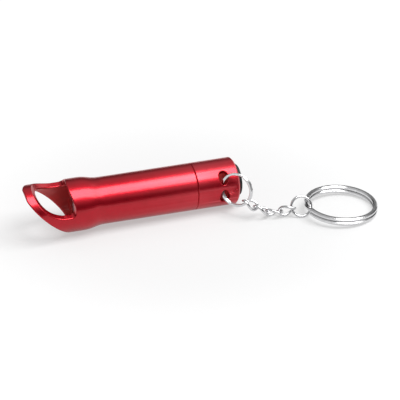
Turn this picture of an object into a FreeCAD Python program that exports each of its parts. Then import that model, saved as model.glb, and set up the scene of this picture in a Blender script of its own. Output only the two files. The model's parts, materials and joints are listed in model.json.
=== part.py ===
import FreeCAD, Part
import math
import os

# Keychain flashlight with a bottle-opener head, lying on a flat surface.  Millimetres, +Z up.
# The torch is first built along X with its tail face at x = 0 and its nose at negative x, and is
# then laid down so that its wider head and its tail both touch the surface.

Vector = FreeCAD.Vector
Rotation = FreeCAD.Rotation
Placement = FreeCAD.Placement

# Torch body
BODY_LENGTH = 75.9
CAP_LENGTH = 15.0
BARREL_R = 8.05
HEAD_R = 9.1
FLARE_START = -47.0
FLARE_END = -55.5
LIGHT_BORE_R = 6.6
EDGE = 0.3
HEAD_ROUND = 0.35

# Opener head: places are measured back from the foremost point of the nose and up from the axis,
# before the whole head is rolled towards the near side
HEAD_ROLL = 19.9
OPENER_BORE_R = 6.9
NOSE_TIP_UP = 8.2
NOSE_ANGLE = 42.0
MOUTH_TOP = (2.6, 9.3)
MOUTH_MIDDLE = (6.4, 5.55)
MOUTH_FOOT = (12.4, 3.0)
MOUTH_REAR = 16.5
MOUTH_CORNER_R = 1.6
TOOTH_START = (16.5, 6.0)
TOOTH_END = (15.0, 9.3)

# Light unit, from the front: lip in the bore, window, reflector, board
LIP_R = 6.0
LIP_LENGTH = 0.8
LENS_R = 6.5
LENS_FRONT = -55.8
LENS_THICKNESS = 1.5
REFLECTOR_LENGTH = 6.0
REFLECTOR_MOUTH_R = 5.7
LED_HOLE_R = 1.9
LED_R = 1.75
BOARD_THICKNESS = 1.4
STUD_R = 2.0
STUD_HEIGHT = 1.0

# Battery stack
SLEEVE_R = 6.5
SLEEVE_BORE_R = 5.92
CELL_R = 5.8
CELL_HEIGHT = 5.4
CELL_COUNT = 4
SLEEVE_PAST_CELLS = 3.0

# Tail cap and its screw joint
THREAD_R = 7.18
THREAD_ROOT_R = 6.75
THREAD_PITCH = 1.0
THREAD_TURNS = 4.5
RUNNING_FIT = 0.07
SPIGOT_LENGTH = THREAD_PITCH * THREAD_TURNS
CAVITY_R = 5.7
CAVITY_FLOOR = -11.0
CORE_BORE_R = 3.6
POCKET_R = 5.6
POCKET_DEPTH = 3.0
O_RING_WIRE_R = 0.32
O_RING_R = 6.84

# Tail switch
BUTTON_R = 5.4
BUTTON_RISE = 2.3
BUTTON_SIDE = 1.6
BUTTON_ROUND = 0.4
BUTTON_TRAVEL = 0.9
BUTTON_BOSS_R = 3.4
BUTTON_BOSS_END = -3.6
BUTTON_FLANGE = -1.9
PLUNGER_R = 1.5
PLUNGER_END = -2.7
COLLAR_R = 2.65
COLLAR_FRONT = -10.0
COLLAR_BACK = -8.7
CHAMBER_R = 2.8
CHAMBER_END = -8.6
PLATE_THICKNESS = 0.8
SWITCH_BACK = -16.8
NECK_END = -5.0
RETAINER_LENGTH = 1.2
RETAINER_BORE_R = 4.7
SWITCH_SPRING_R = 2.0
SWITCH_WIRE_R = 0.2
TAIL_SPRING_R = (4.3, 2.8)
TAIL_WIRE_R = 0.3

# Ring eye: two drillings that meet under a bridge of metal on the near side of the cap
EYE_X = -5.6
EYE_ANGLE = 14.5
DRILL_R = 1.7
DRILL_SLOPE = 68.0
EYE_ROUND = 0.2
BRIDGE_HALF_WIDTH = 1.43
EYE_WIRE_R = 6.2
EYE_WIRE_X = -6.05

# Small split ring
SMALL_RING_OD = 12.0
SMALL_RING_WIDTH = 0.9
SMALL_RING_COIL = 0.58
SMALL_RING_YAW = -47.0
SMALL_RING_HOOK = 47.9

# Twisted chain links
LINK_WIRE_R = 0.45
LINK_HALF_LENGTH = 2.85
LINK_HALF_WIDTH = 1.8
LINK_TWIST = 45.0
LINK_GAP = 1.15
HOOK_GAP = 1.38
LINK_YAW = (-8.7, -12.0, -17.5, -14.3)
LINK_DIP = (33.5, 28.8, -4.1, -13.3)
LINK_ROLL = (21.6, -10.9, -41.0, -71.9)

# Jump ring and key split ring
JUMP_R = 3.4
JUMP_WIRE_R = 0.45
JUMP_YAW = -7.8
JUMP_LEAN = 28.3
KEY_RING_OD = 25.0
KEY_RING_WIDTH = 1.5
KEY_RING_COIL = 1.32
KEY_RING_IN_JUMP = (2.0, -0.16)

COIL_GAP = 0.06
RAMP_ANGLE = 36.0

X_AXIS = Vector(1, 0, 0)
Y_AXIS = Vector(0, 1, 0)
Z_AXIS = Vector(0, 0, 1)


def turned(*corners):
    """Solid of revolution about X from its (x, radius) corners."""
    points = [Vector(x, r, 0) for x, r in corners]
    face = Part.Face(Part.makePolygon(points + points[:1]))
    return face.revolve(Vector(), X_AXIS, 360)


def rod(x_low, x_high, radius):
    return Part.makeCylinder(radius, x_high - x_low, Vector(x_low, 0, 0), X_AXIS)


def across(wire):
    """Cutting block: a profile in the XZ plane, run right through the torch sideways."""
    block = Part.Face(wire).extrude(Vector(0, 4 * HEAD_R, 0))
    block.translate(Vector(0, -2 * HEAD_R, 0))
    return block


def nose_point(place):
    back, up = place
    return Vector(back - BODY_LENGTH, 0, up)


# ---- torch body and light unit

def body_outline():
    """Half outline of the barrel and head, from the seam forward, as a face to revolve."""
    middle = (FLARE_START + FLARE_END) / 2
    flare = Part.BSplineCurve()
    flare.buildFromPoles([
        Vector(FLARE_START, BARREL_R, 0),
        Vector(middle, BARREL_R, 0),
        Vector(middle, HEAD_R, 0),
        Vector(FLARE_END, HEAD_R, 0),
    ], False, 3)
    seam = [Vector(-CAP_LENGTH, 0, 0), Vector(-CAP_LENGTH, BARREL_R - EDGE, 0),
            Vector(-CAP_LENGTH - EDGE, BARREL_R, 0), Vector(FLARE_START, BARREL_R, 0)]
    front = [Vector(FLARE_END, HEAD_R, 0), Vector(-BODY_LENGTH, HEAD_R, 0),
             Vector(-BODY_LENGTH, 0, 0), seam[0]]
    edges = Part.makePolygon(seam).Edges + [flare.toShape()] + Part.makePolygon(front).Edges
    return Part.Face(Part.Wire(edges))


def nose_cut():
    """Everything in front of the straight slash that leaves the nose's blunt tip at the top."""
    below = 2 * HEAD_R
    run = (NOSE_TIP_UP + below) / math.tan(math.radians(NOSE_ANGLE))
    corners = [(0, NOSE_TIP_UP), (run, -below), (-1, -below), (-1, NOSE_TIP_UP)]
    return across(Part.makePolygon([nose_point(corner) for corner in corners + corners[:1]]))


def mouth_cut():
    """The bottle cap's mouth: a curved lip in front, a flat floor and a toothed rear wall."""
    top, middle, foot = (nose_point(p) for p in (MOUTH_TOP, MOUTH_MIDDLE, MOUTH_FOOT))
    corner = nose_point((MOUTH_REAR, MOUTH_FOOT[1]))
    floor_end = corner - X_AXIS * MOUTH_CORNER_R
    wall_start = corner + Z_AXIS * MOUTH_CORNER_R
    slant = MOUTH_CORNER_R * (1 - math.sqrt(0.5))
    bend = corner + Vector(-slant, 0, slant)
    tooth = nose_point(TOOTH_END)
    above = 2 * HEAD_R
    edges = [Part.Arc(top, middle, foot).toShape(), Part.makeLine(foot, floor_end),
             Part.Arc(floor_end, bend, wall_start).toShape()]
    edges += Part.makePolygon([wall_start, nose_point(TOOTH_START), tooth,
                               Vector(tooth.x, 0, above), Vector(top.x, 0, above), top]).Edges
    return across(Part.Wire(edges))


def opener_body():
    body = body_outline().revolve(Vector(), X_AXIS, 360)
    lip_back = LENS_FRONT
    lip_front = lip_back - LIP_LENGTH
    body = body.cut(rod(-BODY_LENGTH - 1, lip_front, OPENER_BORE_R))
    body = body.cut(rod(lip_front - 1, lip_back + 1, LIP_R))
    body = body.cut(rod(lip_back, -CAP_LENGTH + 1, LIGHT_BORE_R))
    thread_end = -CAP_LENGTH - SPIGOT_LENGTH - EDGE
    body = body.cut(rod(thread_end, -CAP_LENGTH + 1, THREAD_R))
    body = body.cut(nose_cut()).cut(mouth_cut())
    milled = [edge for edge in body.Edges if edge.BoundBox.XMax < lip_front - EDGE]
    body = body.makeFillet(HEAD_ROUND, milled)
    body.rotate(Vector(), X_AXIS, HEAD_ROLL)
    return body


def front_window():
    return rod(LENS_FRONT, LENS_FRONT + LENS_THICKNESS, LENS_R)


def reflector():
    """Cup that holds the emitter; its cone opens towards the window."""
    front = LENS_FRONT + LENS_THICKNESS
    back = front + REFLECTOR_LENGTH
    throat = back - 1.6
    return turned((front, REFLECTOR_MOUTH_R), (front, LENS_R), (back, LENS_R),
                  (back, LED_HOLE_R), (throat, LED_HOLE_R))


def board_front():
    return LENS_FRONT + LENS_THICKNESS + REFLECTOR_LENGTH


def led_emitter():
    """Round emitter base with its clear dome."""
    base_height = 1.6
    dome_r = LED_R - 0.25
    base = rod(board_front() - base_height, board_front(), LED_R)
    dome = Part.makeSphere(dome_r, Vector(board_front() - base_height, 0, 0))
    return base.fuse(dome).removeSplitter()


def light_board():
    return rod(board_front(), board_front() + BOARD_THICKNESS, LENS_R - 0.05)


def board_back():
    return board_front() + BOARD_THICKNESS


def contact_stud():
    back = board_back()
    chamfer = 0.3
    return turned((back, 0), (back, STUD_R), (back + STUD_HEIGHT - chamfer, STUD_R),
                  (back + STUD_HEIGHT, STUD_R - chamfer), (back + STUD_HEIGHT, 0))


# ---- battery stack

def cells_front():
    return board_back() + STUD_HEIGHT


def cells_back():
    return cells_front() + CELL_COUNT * CELL_HEIGHT


def battery_sleeve():
    length = STUD_HEIGHT + CELL_COUNT * CELL_HEIGHT + SLEEVE_PAST_CELLS
    tube = rod(board_back(), board_back() + length, SLEEVE_R)
    return tube.cut(rod(board_back() - 1, board_back() + length + 1, SLEEVE_BORE_R))


def battery_cell(index):
    """Button cell: a crimped can in front, its smaller cap towards the tail."""
    front = cells_front() + index * CELL_HEIGHT
    back = front + CELL_HEIGHT
    round_off = 0.4
    cap_height = 0.5
    return turned((front, 0), (front, CELL_R - round_off), (front + round_off, CELL_R),
                  (back - 2 * cap_height, CELL_R), (back - cap_height, CELL_R - 0.7),
                  (back, CELL_R - 1.0), (back, 0))


def coil_spring(x_low, x_high, r_low, r_high, wire_r, turns):
    """Round-wire spring along X whose radius changes evenly; its ends stay between its limits."""
    steps = 12 * turns
    length = x_high - x_low - 2 * wire_r
    points = []
    for step in range(steps + 1):
        along = step / steps
        angle = 2 * math.pi * turns * along
        radius = r_low + (r_high - r_low) * along
        place = Vector(x_low + wire_r + length * along, 0, 0)
        points.append(place + Vector(0, radius * math.cos(angle), radius * math.sin(angle)))
    return open_tube(points, wire_r)


def tail_spring():
    return coil_spring(cells_back(), SWITCH_BACK - PLATE_THICKNESS, *TAIL_SPRING_R,
                       TAIL_WIRE_R, 4)


# ---- tail cap and switch

def eye_frame():
    """Outward and sideways directions at the middle of the bridge."""
    angle = math.radians(EYE_ANGLE)
    outward = Vector(0, -math.cos(angle), math.sin(angle))
    return outward, X_AXIS.cross(outward)


def ring_eye():
    """The bent tunnel for the small ring."""
    outward, sideways = eye_frame()
    slope = math.radians(DRILL_SLOPE)
    edge_height = math.sqrt(BARREL_R ** 2 - BRIDGE_HALF_WIDTH ** 2)
    axis_side = BRIDGE_HALF_WIDTH + DRILL_R * math.cos(slope)
    axis_height = edge_height - DRILL_R * math.sin(slope)
    meeting = X_AXIS * EYE_X + outward * (axis_height - axis_side / math.tan(slope))
    tunnel = Part.makeSphere(DRILL_R, meeting)
    for side in (-1, 1):
        run = sideways * (side * math.sin(slope)) + outward * math.cos(slope)
        tunnel = tunnel.fuse(Part.makeCylinder(DRILL_R, 2 * BARREL_R, meeting, run))
    return tunnel


def tail_cap():
    spigot_r = THREAD_R - RUNNING_FIT
    front = -CAP_LENGTH - SPIGOT_LENGTH
    groove_back = -CAP_LENGTH - EDGE
    groove_front = groove_back - 3 * O_RING_WIRE_R
    groove_r = O_RING_R - O_RING_WIRE_R - 0.03
    land_front = groove_front - EDGE
    cap = turned((front, 0), (front, THREAD_ROOT_R - EDGE), (front + EDGE, THREAD_ROOT_R),
                 (land_front, THREAD_ROOT_R), (land_front, spigot_r),
                 (groove_front, spigot_r), (groove_front, groove_r), (groove_back, groove_r),
                 (groove_back, spigot_r), (-CAP_LENGTH, spigot_r),
                 (-CAP_LENGTH, BARREL_R - EDGE), (-CAP_LENGTH + EDGE, BARREL_R),
                 (-2 * EDGE, BARREL_R), (0, BARREL_R - 2 * EDGE), (0, 0))
    cap = cap.cut(rod(front - 1, CAVITY_FLOOR, CAVITY_R))
    cap = cap.cut(rod(CAVITY_FLOOR - 1, 1, CORE_BORE_R))
    cap = cap.cut(rod(-POCKET_DEPTH, 1, POCKET_R))
    cap = cap.cut(ring_eye())
    outside = Part.makeCylinder(BARREL_R - 0.01, CAP_LENGTH, Vector(-CAP_LENGTH, 0, 0), X_AXIS)
    mouths = [edge for edge in cap.Edges if abs(edge.CenterOfMass.x - EYE_X) < 0.5
              and edge.distToShape(outside)[0] > 0.001]
    return cap.makeFillet(EYE_ROUND, mouths)


def cap_o_ring():
    centre = Vector(-CAP_LENGTH - EDGE - 1.5 * O_RING_WIRE_R, 0, 0)
    return Part.makeTorus(O_RING_R, O_RING_WIRE_R, centre, X_AXIS)


def switch_housing():
    """Plastic core of the tail switch: a wide foot in the cavity, a neck up the core bore."""
    foot_r = CAVITY_R - 0.05
    neck_r = CORE_BORE_R - 0.05
    body = turned((SWITCH_BACK, 0), (SWITCH_BACK, foot_r), (CAVITY_FLOOR, foot_r),
                  (CAVITY_FLOOR, neck_r), (NECK_END, neck_r), (NECK_END, 0))
    body = body.cut(rod(SWITCH_BACK - 1, CHAMBER_END, CHAMBER_R))
    return body.cut(rod(CHAMBER_END - 1, NECK_END + 1, PLUNGER_R + 0.06))


def contact_plate():
    return rod(SWITCH_BACK - PLATE_THICKNESS, SWITCH_BACK, CAVITY_R - 0.1)


def retaining_ring():
    back = SWITCH_BACK - PLATE_THICKNESS
    ring = rod(back - RETAINER_LENGTH, back, CAVITY_R - 0.02)
    return ring.cut(rod(back - RETAINER_LENGTH - 1, back + 1, RETAINER_BORE_R))


def switch_spring():
    return coil_spring(SWITCH_BACK, COLLAR_FRONT - 0.05, SWITCH_SPRING_R, SWITCH_SPRING_R,
                       SWITCH_WIRE_R, 5)


def switch_plunger():
    """Stem with a collar that the switch spring holds against the neck's shoulder."""
    return turned((COLLAR_FRONT, 0), (COLLAR_FRONT, COLLAR_R), (COLLAR_BACK, COLLAR_R),
                  (COLLAR_BACK, PLUNGER_R), (PLUNGER_END, PLUNGER_R), (PLUNGER_END, 0))


def push_button():
    """Rubber button: an upright side under a shallow dome, on a boss that fits the plunger."""
    dome_height = BUTTON_RISE - BUTTON_SIDE
    dome_r = (BUTTON_R ** 2 + dome_height ** 2) / (2 * dome_height)
    blank = turned((BUTTON_BOSS_END, 0), (BUTTON_BOSS_END, BUTTON_BOSS_R),
                   (BUTTON_FLANGE, BUTTON_BOSS_R), (BUTTON_FLANGE, BUTTON_R),
                   (BUTTON_RISE, BUTTON_R), (BUTTON_RISE, 0))
    button = blank.common(Part.makeSphere(dome_r, Vector(BUTTON_RISE - dome_r, 0, 0)))
    rim = [edge for edge in button.Edges if abs(edge.BoundBox.XMin - BUTTON_SIDE) < 0.01
           and edge.BoundBox.XLength < 0.01]
    button = button.makeFillet(BUTTON_ROUND, rim)
    return button.cut(rod(BUTTON_BOSS_END - 1, PLUNGER_END + 0.1, PLUNGER_R))


# ---- wire tubes and split rings

def ring_poles(centre, direction, radius, count):
    """Control points of one round section of a tube, pushed out so the tube has its radius."""
    side = Z_AXIS - direction * direction.z
    if side.Length < 0.01:
        side = Vector(1, 0, 0)
    side.normalize()
    other = direction.cross(side)
    reach = radius * 3 / (2 + math.cos(2 * math.pi / count))
    poles = []
    for index in range(count):
        angle = 2 * math.pi * index / count
        poles.append(centre + side * (reach * math.cos(angle)) + other * (reach * math.sin(angle)))
    return poles


def closed_tube(point, steps, radius):
    """Seamless ring of round wire round the closed path point(t), for t from 0 to 1."""
    count = 8
    rows = []
    for step in range(steps):
        place = point(step / steps)
        direction = point((step + 0.02) / steps) - point((step - 0.02) / steps)
        rows.append(ring_poles(place, direction.normalize(), radius, count))
    surface = Part.BSplineSurface()
    surface.buildFromPolesMultsKnots(rows, [1] * (steps + 1), [1] * (count + 1),
                                     range(steps + 1), range(count + 1), True, True, 3, 3)
    return Part.Solid(Part.Shell([surface.toShape()]))


def open_tube(points, radius):
    """Round wire along a smooth curve through the points, with flat ends."""
    curve = Part.BSplineCurve()
    curve.interpolate(points)
    direction = curve.tangent(curve.FirstParameter)[0]
    profile = Part.Wire(Part.Circle(points[0], direction, radius).toShape())
    return Part.Wire(curve.toShape()).makePipeShell([profile], True, True)


def coil_section(inner_r, outer_r, low, high):
    """Rounded rectangular section of one coil, in the XZ plane."""
    corner = 0.28 * min(outer_r - inner_r, high - low)
    points = [Vector(inner_r + corner, 0, low), Vector(outer_r - corner, 0, low),
              Vector(outer_r, 0, low + corner), Vector(outer_r, 0, high - corner),
              Vector(outer_r - corner, 0, high), Vector(inner_r + corner, 0, high),
              Vector(inner_r, 0, high - corner), Vector(inner_r, 0, low + corner)]
    return Part.makePolygon(points + points[:1])


def split_ring(outer_d, width, coil, start_angle):
    """Two flat coils joined by a ramp, centred on the origin with its axis along Z."""
    outer_r = outer_d / 2
    rise = coil + COIL_GAP
    flat = 360 - RAMP_ANGLE
    low = -coil - COIL_GAP / 2
    section = coil_section(outer_r - width, outer_r, low, low + coil)
    lower = Part.Face(section).revolve(Vector(), Z_AXIS, flat)
    upper = lower.copy()
    upper.translate(Vector(0, 0, rise))
    middle_r = outer_r - width / 2
    helix = Part.makeHelix(rise * 360 / RAMP_ANGLE, rise, middle_r)
    helix.translate(Vector(0, 0, low + coil / 2))
    sweep = Part.BRepOffsetAPI.MakePipeShell(Part.Wire(helix.Edges))
    sweep.setBiNormalMode(Z_AXIS)
    sweep.add(section)
    sweep.build()
    sweep.makeSolid()
    ramp = sweep.shape()
    ramp.rotate(Vector(), Z_AXIS, flat)
    ring = lower.fuse([ramp, upper]).removeSplitter()
    ring.rotate(Vector(), Z_AXIS, start_angle)
    return ring


# ---- where each ring and link lies

def tilt():
    """How far the torch's axis dips towards its narrower tail."""
    return math.degrees(math.asin((HEAD_R - BARREL_R) / -FLARE_END))


def laid_down():
    """Carries the torch from its own axis to the surface it lies on."""
    turn = Rotation(Y_AXIS, tilt())
    lift = BARREL_R * math.cos(math.radians(tilt()))
    return Placement(Vector(BARREL_R * -math.sin(math.radians(tilt())), 0, lift), turn)


def heading(yaw, dip):
    """Unit vector at a compass angle from +X towards +Y, dipping below the horizontal."""
    flat = math.cos(math.radians(dip))
    return Vector(flat * math.cos(math.radians(yaw)), flat * math.sin(math.radians(yaw)),
                  -math.sin(math.radians(dip)))


def frame(x_dir, z_hint):
    """Rotation whose X axis lies along x_dir and whose Z axis is nearest z_hint."""
    return Rotation(x_dir, Vector(), z_hint, "XZY")


def eye_wire_point():
    outward, _ = eye_frame()
    return laid_down().multVec(X_AXIS * EYE_WIRE_X + outward * EYE_WIRE_R)


def small_ring_place():
    """Centre and rotation of the small ring, which hangs upright from the bridge."""
    out = heading(SMALL_RING_YAW, -2.0)
    _, sideways = eye_frame()
    along = laid_down().Rotation.multVec(sideways)
    axis = along.cross(out).normalize()
    middle_r = (SMALL_RING_OD - SMALL_RING_WIDTH) / 2
    return Placement(eye_wire_point() + out * middle_r, frame(out, axis))


def small_ring_hook():
    """Where the first link hangs on the small ring, and the wire's direction there."""
    place = small_ring_place()
    middle_r = (SMALL_RING_OD - SMALL_RING_WIDTH) / 2
    down = place.Rotation.multVec(Y_AXIS)
    if down.z > 0:
        down = down * -1
    out = place.Rotation.multVec(X_AXIS)
    angle = math.radians(SMALL_RING_HOOK)
    radial = down * math.cos(angle) + out * math.sin(angle)
    wire = down * -math.sin(angle) + out * math.cos(angle)
    return place.Base + radial * middle_r, wire


def link_places():
    """Placement of each chain link, stepping from the small ring along its headings."""
    places = []
    start, _ = small_ring_hook()
    reach = LINK_HALF_LENGTH - HOOK_GAP
    for yaw, dip, roll in zip(LINK_YAW, LINK_DIP, LINK_ROLL):
        along = heading(yaw, dip)
        centre = start + along * reach
        turn = frame(along, Z_AXIS).multiply(Rotation(X_AXIS, roll))
        places.append(Placement(centre, turn))
        start = centre + along * LINK_HALF_LENGTH
        reach = LINK_HALF_LENGTH - LINK_GAP
    return places


def link_end(place):
    """Centre and direction of the wire at a link's far end."""
    twist = math.radians(LINK_TWIST)
    wire = Vector(0, math.cos(twist), math.sin(twist))
    return place.multVec(X_AXIS * LINK_HALF_LENGTH), place.Rotation.multVec(wire)


def jump_ring_axes():
    """Level and leaning directions in the plane of the jump ring."""
    level = heading(JUMP_YAW, 0)
    back = heading(JUMP_YAW + 90, 0)
    lean = math.radians(JUMP_LEAN)
    return level, back * math.sin(lean) + Z_AXIS * math.cos(lean)


def jump_ring_place():
    """The jump ring leans back on the surface with its left side through the last link."""
    level, up = jump_ring_axes()
    end, _ = link_end(link_places()[-1])
    along = link_places()[-1].Rotation.multVec(X_AXIS)
    held = end - along * LINK_GAP
    centre_z = JUMP_R * up.z + JUMP_WIRE_R
    climb = (centre_z - held.z) / (JUMP_R * up.z)
    centre = held + level * (JUMP_R * math.sqrt(1 - climb ** 2)) + up * (JUMP_R * climb)
    return Placement(centre, frame(level, level.cross(up)))


def key_ring_place():
    """The key ring rests on its far edge and is held up where it passes the jump ring."""
    level, up = jump_ring_axes()
    across_ring, up_ring = KEY_RING_IN_JUMP
    held = jump_ring_place().Base + level * across_ring + up * up_ring
    half_height = KEY_RING_COIL + COIL_GAP / 2
    middle_r = (KEY_RING_OD - KEY_RING_WIDTH) / 2
    slope = math.degrees(math.asin((held.z - half_height) / (middle_r + KEY_RING_OD / 2)))
    along = heading(JUMP_YAW, slope)
    return Placement(held + along * middle_r, frame(along, Z_AXIS))


def twisted_link():
    """One link: an oval of round wire, twisted a quarter turn from end to end."""
    def point(t):
        angle = 2 * math.pi * t
        x = LINK_HALF_LENGTH * math.cos(angle)
        y = LINK_HALF_WIDTH * math.sin(angle)
        twist = math.radians(LINK_TWIST) * math.cos(angle)
        return Vector(x, y * math.cos(twist), y * math.sin(twist))
    return closed_tube(point, 32, LINK_WIRE_R)


def round_ring():
    """The jump ring."""
    return Part.makeTorus(JUMP_R, JUMP_WIRE_R)


def torch_parts():
    parts = {
        "barrel_opener_body": opener_body(),
        "front_window": front_window(),
        "led_reflector": reflector(),
        "led_emitter": led_emitter(),
        "light_board": light_board(),
        "front_contact_stud": contact_stud(),
        "battery_sleeve": battery_sleeve(),
        "tail_contact_spring": tail_spring(),
        "tail_cap": tail_cap(),
        "cap_o_ring": cap_o_ring(),
        "switch_housing": switch_housing(),
        "switch_contact_plate": contact_plate(),
        "switch_retaining_ring": retaining_ring(),
        "switch_spring": switch_spring(),
        "switch_plunger": switch_plunger(),
        "push_button": push_button(),
    }
    for index in range(CELL_COUNT):
        parts["battery_cell_%d" % (index + 1)] = battery_cell(index)
    return parts


def placed(shape, placement):
    moved = shape.copy()
    moved.Placement = placement.multiply(moved.Placement)
    return moved


def all_parts():
    parts = {}
    for name, shape in torch_parts().items():
        parts[name] = placed(shape, laid_down())
    small = split_ring(SMALL_RING_OD, SMALL_RING_WIDTH, SMALL_RING_COIL, 100)
    parts["small_split_ring"] = placed(small, small_ring_place())
    for index, place in enumerate(link_places()):
        parts["chain_link_%d" % (index + 1)] = placed(twisted_link(), place)
    parts["jump_ring"] = placed(round_ring(), jump_ring_place())
    key = split_ring(KEY_RING_OD, KEY_RING_WIDTH, KEY_RING_COIL, 200)
    parts["key_split_ring"] = placed(key, key_ring_place())
    return parts


def origin_shift(parts):
    """Moves the origin to the middle of the whole object's footprint, on the surface."""
    box = Part.makeCompound(list(parts.values())).optimalBoundingBox(False)
    return Vector(-box.Center.x, -box.Center.y, 0)


def main():
    os.makedirs("parts", exist_ok=True)
    parts = all_parts()
    shift = origin_shift(parts)
    for name, shape in parts.items():
        shape.translate(shift)
        shape.exportStep("parts/%s.step" % name)


main()
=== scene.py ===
import bpy
import bmesh
import json
import math
from mathutils import Matrix, Vector


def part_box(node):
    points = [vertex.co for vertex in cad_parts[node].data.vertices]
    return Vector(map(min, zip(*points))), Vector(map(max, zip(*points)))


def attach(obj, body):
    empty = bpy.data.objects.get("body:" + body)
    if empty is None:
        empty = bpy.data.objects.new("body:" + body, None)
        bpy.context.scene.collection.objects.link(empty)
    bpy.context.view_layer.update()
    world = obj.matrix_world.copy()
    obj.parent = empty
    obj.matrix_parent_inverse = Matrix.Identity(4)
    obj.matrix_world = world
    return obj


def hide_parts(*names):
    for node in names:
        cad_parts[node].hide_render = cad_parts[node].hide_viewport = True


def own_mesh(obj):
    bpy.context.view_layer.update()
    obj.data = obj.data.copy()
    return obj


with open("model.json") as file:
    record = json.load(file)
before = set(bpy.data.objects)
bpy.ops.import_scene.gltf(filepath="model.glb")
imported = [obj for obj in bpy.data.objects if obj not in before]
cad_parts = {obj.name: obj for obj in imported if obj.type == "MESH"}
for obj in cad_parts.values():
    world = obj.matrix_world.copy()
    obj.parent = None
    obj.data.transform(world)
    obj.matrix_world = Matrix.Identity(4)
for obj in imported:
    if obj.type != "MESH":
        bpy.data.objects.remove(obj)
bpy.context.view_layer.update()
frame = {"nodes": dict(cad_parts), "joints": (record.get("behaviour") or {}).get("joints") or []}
nodes = frame["nodes"]
joints = {joint["name"]: joint for joint in frame["joints"]}

MM = 0.001

# the torch
TAIL_FROM_TURN = 8.0 * MM      # the cap's turning point lies this far inside its tail face
BORE_R = 6.9 * MM              # the opener's bore, duller and rougher than the outside

# the camera
VIEW_AZIMUTH = math.radians(-19.6)
VIEW_ELEVATION = math.radians(29.0)
CAMERA_DISTANCE = 4.0
SENSOR_WIDTH = 36.0            # mm
NEAREST_SEEN = 0.01
FIELD_WIDTH = 0.13605          # metres across the picture at the torch's tail
AIM_RIGHT = -11.14 * MM        # from the middle of the tail face to the picture's middle
AIM_UP = -6.81 * MM

# the floor and the sky
FLOOR_SIZE = 12.0
FLOOR_GREY = (0.3, 0.3, 0.301)
FLOOR_GLOW = (0.45, 0.62)      # the floor's glow, as of a lit white table: weaker under the object, a painted shade there, and stronger further out
GLOW_REACH = (0.03, 0.12)      # distances from the origin where the one passes into the other
HORIZON_GREY = (0.06, 0.06, 0.06)
ZENITH_GREY = (0.6, 0.6, 0.6)
SKY_FADE = (0.3, 0.7)          # sines of the elevations where the one passes into the other

# soft lights: name, direction from the origin, distance, width, height, watts
SOFTBOXES = (
    ("overhead", (0.33, -0.27, 0.905), 0.9, 0.85, 0.6, 12.2),
    ("back_right", (0.78, 0.42, 0.46), 1.1, 0.6, 0.6, 1.2),
)

# the thread on the cap's spigot
THREAD_PITCH = 1.0 * MM
THREAD_ROOT_R = 6.72 * MM      # just under the spigot's relieved surface
THREAD_CREST_R = 7.06 * MM     # short of the barrel's bore
THREAD_ROOT_HALF = 0.4 * MM
THREAD_CREST_HALF = 0.12 * MM
THREAD_STEPS_PER_TURN = 96
THREAD_FADE = 0.3              # turns over which the ridge rises at each end
THREAD_LEAST_HEIGHT = 0.05     # share of the full height left at the very ends
O_RING_TO_THREAD = 1.3 * MM

# the switch spring's coil
SWITCH_WIRE_R = 0.2 * MM
SWITCH_TURNS = 5
SPRING_STEPS_PER_TURN = 36
WIRE_SIDES = 10

# the spread of a noise texture's values, which colours and roughness are stretched over
NOISE_LOW, NOISE_HIGH = 0.3, 0.7

# a mix node's sockets for colours, which share their names with those for numbers and vectors
MIX_FACTOR, MIX_FIRST, MIX_SECOND, MIX_RESULT = 0, 6, 7, 2

torch_axis = Vector(joints["cap_turn"]["axis"]).normalized()
tail_point = Vector(joints["cap_turn"]["pos_m"]) + torch_axis * TAIL_FROM_TURN


# ---- materials

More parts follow.
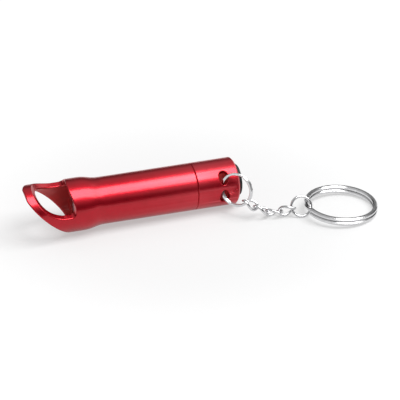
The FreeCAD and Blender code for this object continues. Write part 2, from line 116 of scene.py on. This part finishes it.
class Shader:
    """One procedural material: a Principled shader and short ways to feed its inputs."""

    def __init__(self, name, colour, metallic, roughness):
        self.material = bpy.data.materials.new(name)
        self.material.use_nodes = True
        self.tree = self.material.node_tree
        self.surface = self.tree.nodes["Principled BSDF"]
        self.fixed(Base_Color=(*colour, 1), Metallic=metallic, Roughness=roughness)
        self.place = self.node("ShaderNodeTexCoord").outputs["Object"]

    def node(self, kind, **values):
        made = self.tree.nodes.new(kind)
        for key, value in values.items():
            setattr(made, key, value)
        return made

    def link(self, source, target):
        self.tree.links.new(source, target)

    def fixed(self, **values):
        """Sets plain values; underscores in the names stand for spaces."""
        for key, value in values.items():
            self.surface.inputs[key.replace("_", " ")].default_value = value

    def feed(self, name, source):
        self.link(source, self.surface.inputs[name])

    def noise(self, scale, detail=3.0, rough=0.5, place=None):
        made = self.node("ShaderNodeTexNoise")
        made.inputs["Scale"].default_value = scale
        made.inputs["Detail"].default_value = detail
        made.inputs["Roughness"].default_value = rough
        self.link(place or self.place, made.inputs["Vector"])
        return made.outputs["Fac"]

    def vector_step(self, operation, source, other=None):
        """One step of vector arithmetic on a linked vector and, if given, a plain one."""
        made = self.node("ShaderNodeVectorMath", operation=operation)
        self.link(source, made.inputs[0])
        if other is not None:
            made.inputs[1].default_value = other
        return made.outputs["Value" if operation == "LENGTH" else "Vector"]

    def stretched(self, axis, along, across):
        """Coordinates scaled by `along` on the axis and by `across` on the two others."""
        turn = self.node("ShaderNodeVectorRotate", rotation_type="EULER_XYZ", invert=True)
        angles = Vector((1, 0, 0)).rotation_difference(axis).to_euler()
        turn.inputs["Rotation"].default_value = angles
        self.link(self.place, turn.inputs["Vector"])
        return self.vector_step("MULTIPLY", turn.outputs["Vector"], (along, across, across))

    def ranged(self, source, low, high, source_low=NOISE_LOW, source_high=NOISE_HIGH,
               interpolation="LINEAR"):
        made = self.node("ShaderNodeMapRange", interpolation_type=interpolation)
        made.inputs["From Min"].default_value = source_low
        made.inputs["From Max"].default_value = source_high
        made.inputs["To Min"].default_value = low
        made.inputs["To Max"].default_value = high
        self.link(source, made.inputs["Value"])
        return made.outputs["Result"]

    def tinted(self, source, low_colour, high_colour):
        """A colour that follows a noise between two colours."""
        made = self.node("ShaderNodeValToRGB")
        stops = ((NOISE_LOW, low_colour), (NOISE_HIGH, high_colour))
        for element, (position, colour) in zip(made.color_ramp.elements, stops):
            element.position = position
            element.color = (*colour, 1)
        self.link(source, made.inputs["Fac"])
        return made.outputs["Color"]

    def mixed(self, factor, first, second):
        """A linked colour passing into a plain one as the factor goes from 0 to 1."""
        made = self.node("ShaderNodeMix", data_type="RGBA")
        self.link(factor, made.inputs[MIX_FACTOR])
        self.link(first, made.inputs[MIX_FIRST])
        made.inputs[MIX_SECOND].default_value = (*second, 1)
        return made.outputs[MIX_RESULT]

    def added(self, source, times, other):
        """One source times a plain number, plus another source."""
        made = self.node("ShaderNodeMath", operation="MULTIPLY_ADD")
        self.link(source, made.inputs[0])
        made.inputs[1].default_value = times
        self.link(other, made.inputs[2])
        return made.outputs["Value"]

    def bump(self, height, distance, strength, over=None):
        made = self.node("ShaderNodeBump")
        made.inputs["Distance"].default_value = distance
        made.inputs["Strength"].default_value = strength
        self.link(height, made.inputs["Height"])
        if over:
            self.link(over, made.inputs["Normal"])
        return made.outputs["Normal"]

    def near_axis(self, inner, outer):
        """1 within the inner radius of the torch's axis, fading to 0 at the outer one."""
        offset = self.vector_step("SUBTRACT", self.place, tail_point)
        across = self.vector_step("CROSS_PRODUCT", offset, torch_axis)
        radius = self.vector_step("LENGTH", across)
        return self.ranged(radius, 1.0, 0.0, inner, outer)

    def worn_and_highlit_edge(self, start, end):
        """1 on convex edges, 0 on flats and hollows; marks the edges painted lighter, partly as
        wear and partly as a painted highlight.
        """
        geometry = self.node("ShaderNodeNewGeometry")
        return self.ranged(geometry.outputs["Pointiness"], 0.0, 1.0, start, end)


def anodised_red():
    """Satin red anodised aluminium with fine turning marks round the torch's axis."""
    made = Shader("red_anodised", (0.5, 0.01, 0.02), metallic=0.9, roughness=0.3)
    made.fixed(Coat_Weight=0.155, Coat_Roughness=0.16, Coat_IOR=2.2)
    bored = made.near_axis(BORE_R + 0.03 * MM, BORE_R + 0.2 * MM)
    deep = made.tinted(made.noise(scale=260.0), (0.4, 0.001, 0.01), (0.45, 0.002, 0.014))
    # convex edges painted a lighter red: partly wear, partly a painted highlight along the edges
    outside = made.mixed(made.worn_and_highlit_edge(start=0.53, end=0.62), deep, (0.62, 0.05, 0.07))
    made.feed("Base Color", made.mixed(bored, outside, (0.56, 0.04, 0.04)))
    made.feed("Metallic", made.ranged(bored, 0.9, 0.3, 0.0, 1.0))
    marks = made.stretched(torch_axis, along=9000.0, across=60.0)
    turning = made.noise(scale=1.0, detail=2.0, rough=0.6, place=marks)
    made.feed("Roughness", made.added(bored, 0.25, made.ranged(turning, 0.28, 0.36)))
    grain = made.noise(scale=5200.0, detail=2.0)
    fine = made.bump(grain, distance=0.003 * MM, strength=0.25)
    made.feed("Normal", made.bump(turning, distance=0.004 * MM, strength=0.25, over=fine))
    return made.material


def bright_nickel(name="bright_nickel", roughness=(0.16, 0.23)):
    made = Shader(name, (0.6, 0.6, 0.61), metallic=1.0, roughness=0.15)
    made.feed("Base Color", made.tinted(made.noise(scale=900.0),
                                        (0.6, 0.6, 0.61), (0.71, 0.71, 0.72)))
    scuffs = made.noise(scale=3200.0, detail=4.0, rough=0.6)
    made.feed("Roughness", made.ranged(scuffs, *roughness))
    made.feed("Normal", made.bump(scuffs, distance=0.006 * MM, strength=0.25))
    return made.material


def plain_metal(name, colour, roughness):
    made = Shader(name, colour, metallic=1.0, roughness=roughness)
    darker = tuple(0.85 * channel for channel in colour)
    made.feed("Base Color", made.tinted(made.noise(scale=400.0), darker, colour))
    scuffs = made.noise(scale=2600.0, detail=4.0)
    made.feed("Roughness", made.ranged(scuffs, 0.8 * roughness, 1.3 * roughness))
    made.feed("Normal", made.bump(scuffs, distance=0.006 * MM, strength=0.3))
    return made.material


def black_rubber():
    made = Shader("black_rubber", (0.01, 0.01, 0.01), metallic=0.0, roughness=0.6)
    made.fixed(Specular_IOR_Level=0.25)
    made.feed("Base Color", made.tinted(made.noise(scale=700.0),
                                        (0.007, 0.007, 0.008), (0.016, 0.016, 0.017)))
    grain = made.noise(scale=6000.0, detail=4.0)
    made.feed("Roughness", made.ranged(grain, 0.5, 0.7))
    made.feed("Normal", made.bump(grain, distance=0.01 * MM, strength=0.5))
    return made.material


def plastic(name, colour, roughness=0.4):
    made = Shader(name, colour, metallic=0.0, roughness=roughness)
    lighter = tuple(min(1.0, 1.15 * channel) for channel in colour)
    made.feed("Base Color", made.tinted(made.noise(scale=500.0), colour, lighter))
    grain = made.noise(scale=4000.0)
    made.feed("Normal", made.bump(grain, distance=0.006 * MM, strength=0.3))
    return made.material


def clear_plastic():
    made = Shader("clear_window", (0.96, 0.98, 0.98), metallic=0.0, roughness=0.03)
    made.fixed(Transmission_Weight=1.0, IOR=1.49)
    made.feed("Roughness", made.ranged(made.noise(scale=1500.0), 0.02, 0.06))
    return made.material


def floor_glow_with_painted_shade():
    """The floor's white, which glows more strongly away from the object; the weaker glow under the
    object is painted shade.
    """
    made = Shader("floor_white", FLOOR_GREY, metallic=0.0, roughness=0.7)
    made.fixed(Specular_IOR_Level=0.2, Emission_Color=(1, 1, 1, 1))
    distance = made.vector_step("LENGTH", made.place)
    # emission fades from the far glow down to a painted shade round the object
    made.feed("Emission Strength", made.ranged(distance, *FLOOR_GLOW, *GLOW_REACH, "SMOOTHSTEP"))
    return made.material


def dress_cad_nodes():
    """Gives every CAD node its material and returns the materials by node."""
    red = anodised_red()
    nickel = bright_nickel()
    rubber = black_rubber()
    brass = plain_metal("brass", (0.78, 0.58, 0.28), roughness=0.28)
    spring = plain_metal("spring_steel", (0.55, 0.55, 0.57), roughness=0.25)
    cell = plain_metal("cell_steel", (0.7, 0.7, 0.71), roughness=0.22)
    white = plastic("white_plastic", (0.75, 0.75, 0.73))
    looks = {
        "barrel_opener_body": red, "tail_cap": red,
        "front_window": clear_plastic(),
        "led_reflector": bright_nickel("mirror_coat", roughness=(0.04, 0.1)),
        "led_emitter": plastic("led_resin", (0.85, 0.74, 0.25), roughness=0.15),
        "light_board": plastic("board_green", (0.03, 0.2, 0.07)),
        "front_contact_stud": brass, "switch_contact_plate": brass,
        "switch_retaining_ring": brass,
        "battery_sleeve": white, "switch_plunger": white,
        "tail_contact_spring": spring, "switch_spring": spring,
        "cap_o_ring": rubber, "push_button": rubber,
        "switch_housing": plastic("black_plastic", (0.02, 0.02, 0.022)),
        "small_split_ring": nickel, "jump_ring": nickel, "key_split_ring": nickel,
    }
    for name in nodes:
        if name.startswith("battery_cell"):
            looks[name] = cell
        if name.startswith("chain_link"):
            looks[name] = nickel
    for name, material in looks.items():
        data = nodes[name].data
        data.materials.clear()
        data.materials.append(material)
    return looks


# ---- camera, floor and light

def view_axes():
    """Right, up and towards-the-camera directions of the picture."""
    sin_a, cos_a = math.sin(VIEW_AZIMUTH), math.cos(VIEW_AZIMUTH)
    sin_e, cos_e = math.sin(VIEW_ELEVATION), math.cos(VIEW_ELEVATION)
    right = Vector((cos_a, sin_a, 0))
    up = Vector((-sin_a * sin_e, cos_a * sin_e, cos_e))
    towards = Vector((sin_a * cos_e, -cos_a * cos_e, sin_e))
    return right, up, towards


def facing(right, up, towards, place):
    """The matrix of a camera or light at a place, from the directions of its own axes."""
    matrix = Matrix((right, up, towards)).transposed().to_4x4()
    matrix.translation = place
    return matrix


def add_camera():
    right, up, towards = view_axes()
    aim = tail_point + right * AIM_RIGHT + up * AIM_UP
    data = bpy.data.cameras.new("camera")
    data.sensor_width = SENSOR_WIDTH
    data.lens = SENSOR_WIDTH * CAMERA_DISTANCE / FIELD_WIDTH
    data.clip_start = NEAREST_SEEN
    camera = bpy.data.objects.new("camera", data)
    camera.matrix_world = facing(right, up, towards, aim + towards * CAMERA_DISTANCE)
    bpy.context.scene.collection.objects.link(camera)
    bpy.context.scene.camera = camera


def add_floor():
    bpy.ops.mesh.primitive_plane_add(size=FLOOR_SIZE, location=(0, 0, 0))
    floor = bpy.context.object
    floor.name = "floor"
    floor.data.materials.append(floor_glow_with_painted_shade())


def add_softbox(name, towards, distance, width, height, power):
    """Rectangular soft light seen from the origin in one direction, its width along X."""
    towards = Vector(towards).normalized()
    right = Vector((1, 0, 0))
    right = (right - towards * right.dot(towards)).normalized()
    data = bpy.data.lights.new(name, "AREA")
    data.shape = "RECTANGLE"
    data.size = width
    data.size_y = height
    data.energy = power
    light = bpy.data.objects.new(name, data)
    light.matrix_world = facing(right, towards.cross(right), towards, towards * distance)
    bpy.context.scene.collection.objects.link(light)


def add_world():
    """A dim studio: darkest at the horizon, paler overhead."""
    world = bpy.data.worlds.new("studio")
    world.use_nodes = True
    tree = world.node_tree
    coordinates = tree.nodes.new("ShaderNodeTexCoord")
    split = tree.nodes.new("ShaderNodeSeparateXYZ")
    ramp = tree.nodes.new("ShaderNodeValToRGB")
    greys = (HORIZON_GREY, ZENITH_GREY)
    for element, position, grey in zip(ramp.color_ramp.elements, SKY_FADE, greys):
        element.position = position
        element.color = (*grey, 1)
    tree.links.new(coordinates.outputs["Generated"], split.inputs["Vector"])
    tree.links.new(split.outputs["Z"], ramp.inputs["Fac"])
    tree.links.new(ramp.outputs["Color"], tree.nodes["Background"].inputs["Color"])
    bpy.context.scene.world = world


# ---- pieces finer than the CAD

def on_torch(along, radius, angle):
    """A point by its distance from the tail face, its radius and its angle round the axis."""
    side = Vector((0, 1, 0))
    lift = torch_axis.cross(side)
    outward = side * math.cos(angle) + lift * math.sin(angle)
    return tail_point + torch_axis * along + outward * radius


def along_torch(point):
    return (point - tail_point).dot(torch_axis)


def skinned(sections):
    """A closed mesh over a chain of equal rings of points, with both ends capped."""
    mesh = bmesh.new()
    rings = [[mesh.verts.new(point) for point in section] for section in sections]
    count = len(rings[0])
    for ring, following in zip(rings, rings[1:]):
        for k in range(count):
            after = (k + 1) % count
            mesh.faces.new((ring[k], ring[after], following[after], following[k]))
    mesh.faces.new(rings[0])
    mesh.faces.new(reversed(rings[-1]))
    bmesh.ops.recalc_face_normals(mesh, faces=mesh.faces)
    return mesh


def piece_from(mesh, name, material):
    data = bpy.data.meshes.new(name)
    mesh.to_mesh(data)
    mesh.free()
    data.materials.append(material)
    piece = bpy.data.objects.new(name, data)
    bpy.context.scene.collection.objects.link(piece)
    return piece


def thread_ends():
    """Where the ridge starts and stops: from the spigot's front edge back to the O-ring's land."""
    front = min(along_torch(vertex.co) for vertex in nodes["tail_cap"].data.vertices)
    low, high = (Vector(corner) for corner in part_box("cap_o_ring"))
    back = along_torch((low + high) / 2) - O_RING_TO_THREAD
    return front + THREAD_ROOT_HALF, back


def thread_section(middle, turn, crest):
    """The ridge's profile at one place along the torch and one number of turns round it."""
    profile = ((-THREAD_ROOT_HALF, THREAD_ROOT_R), (-THREAD_CREST_HALF, crest),
               (THREAD_CREST_HALF, crest), (THREAD_ROOT_HALF, THREAD_ROOT_R))
    return [on_torch(middle + along, radius, turn * math.tau) for along, radius in profile]


def add_cap_thread(material):
    """Right-handed ridge on the cap's spigot, rising and fading at its ends."""
    start, stop = thread_ends()
    turns = (stop - start) / THREAD_PITCH
    steps = int(turns * THREAD_STEPS_PER_TURN)
    sections = []
    for step in range(steps + 1):
        turn = turns * step / steps
        height = min(1.0, turn / THREAD_FADE, (turns - turn) / THREAD_FADE)
        height = max(height, THREAD_LEAST_HEIGHT)
        crest = THREAD_ROOT_R + (THREAD_CREST_R - THREAD_ROOT_R) * height
        sections.append(thread_section(start + turn * THREAD_PITCH, turn, crest))
    thread = piece_from(skinned(sections), "cap_thread", material)
    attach(thread, "tail_cap")


def wire_section(middle, outward):
    """A round wire's ring of points, in the plane of the torch's axis and one direction."""
    angles = (math.tau * k / WIRE_SIDES for k in range(WIRE_SIDES))
    return [middle + (outward * math.cos(angle) + torch_axis * math.sin(angle)) * SWITCH_WIRE_R
            for angle in angles]


def coil_sections(front, back, coil_r):
    """Rings along a coil between two places, its turns closing up towards both ends."""
    reach = back - front - 2 * SWITCH_WIRE_R
    for step in range(SWITCH_TURNS * SPRING_STEPS_PER_TURN + 1):
        turn = step / SPRING_STEPS_PER_TURN
        share = turn / SWITCH_TURNS
        eased = share * share * (3 - 2 * share)
        place = front + SWITCH_WIRE_R + reach * eased
        middle = on_torch(place, coil_r, turn * math.tau)
        yield wire_section(middle, (middle - on_torch(place, 0, 0)).normalized())


def add_switch_coil(material):
    """Coil on the place of the CAD switch spring, which it hides."""
    along = [along_torch(vertex.co) for vertex in nodes["switch_spring"].data.vertices]
    front, back = min(along), max(along)
    low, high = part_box("switch_spring")
    coil_r = (high[1] - low[1]) / 2 - SWITCH_WIRE_R    # the torch's axis is square to Y
    mesh = skinned(coil_sections(front, back, coil_r))
    for face in mesh.faces:
        face.smooth = len(face.verts) == 4
    travel = max(joints["button_press"]["range_m"])
    coil = piece_from(mesh, "switch_coil", material)
    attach(coil, "tail_cap")
    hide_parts("switch_spring")
    on_torch(front, 0, 0)
    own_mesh(coil)


add_camera()
add_floor()
add_world()
for softbox in SOFTBOXES:
    add_softbox(*softbox)
bpy.context.scene.view_settings.view_transform = "Standard"
looks = dress_cad_nodes()
add_cap_thread(looks["tail_cap"])
add_switch_coil(looks["switch_spring"])
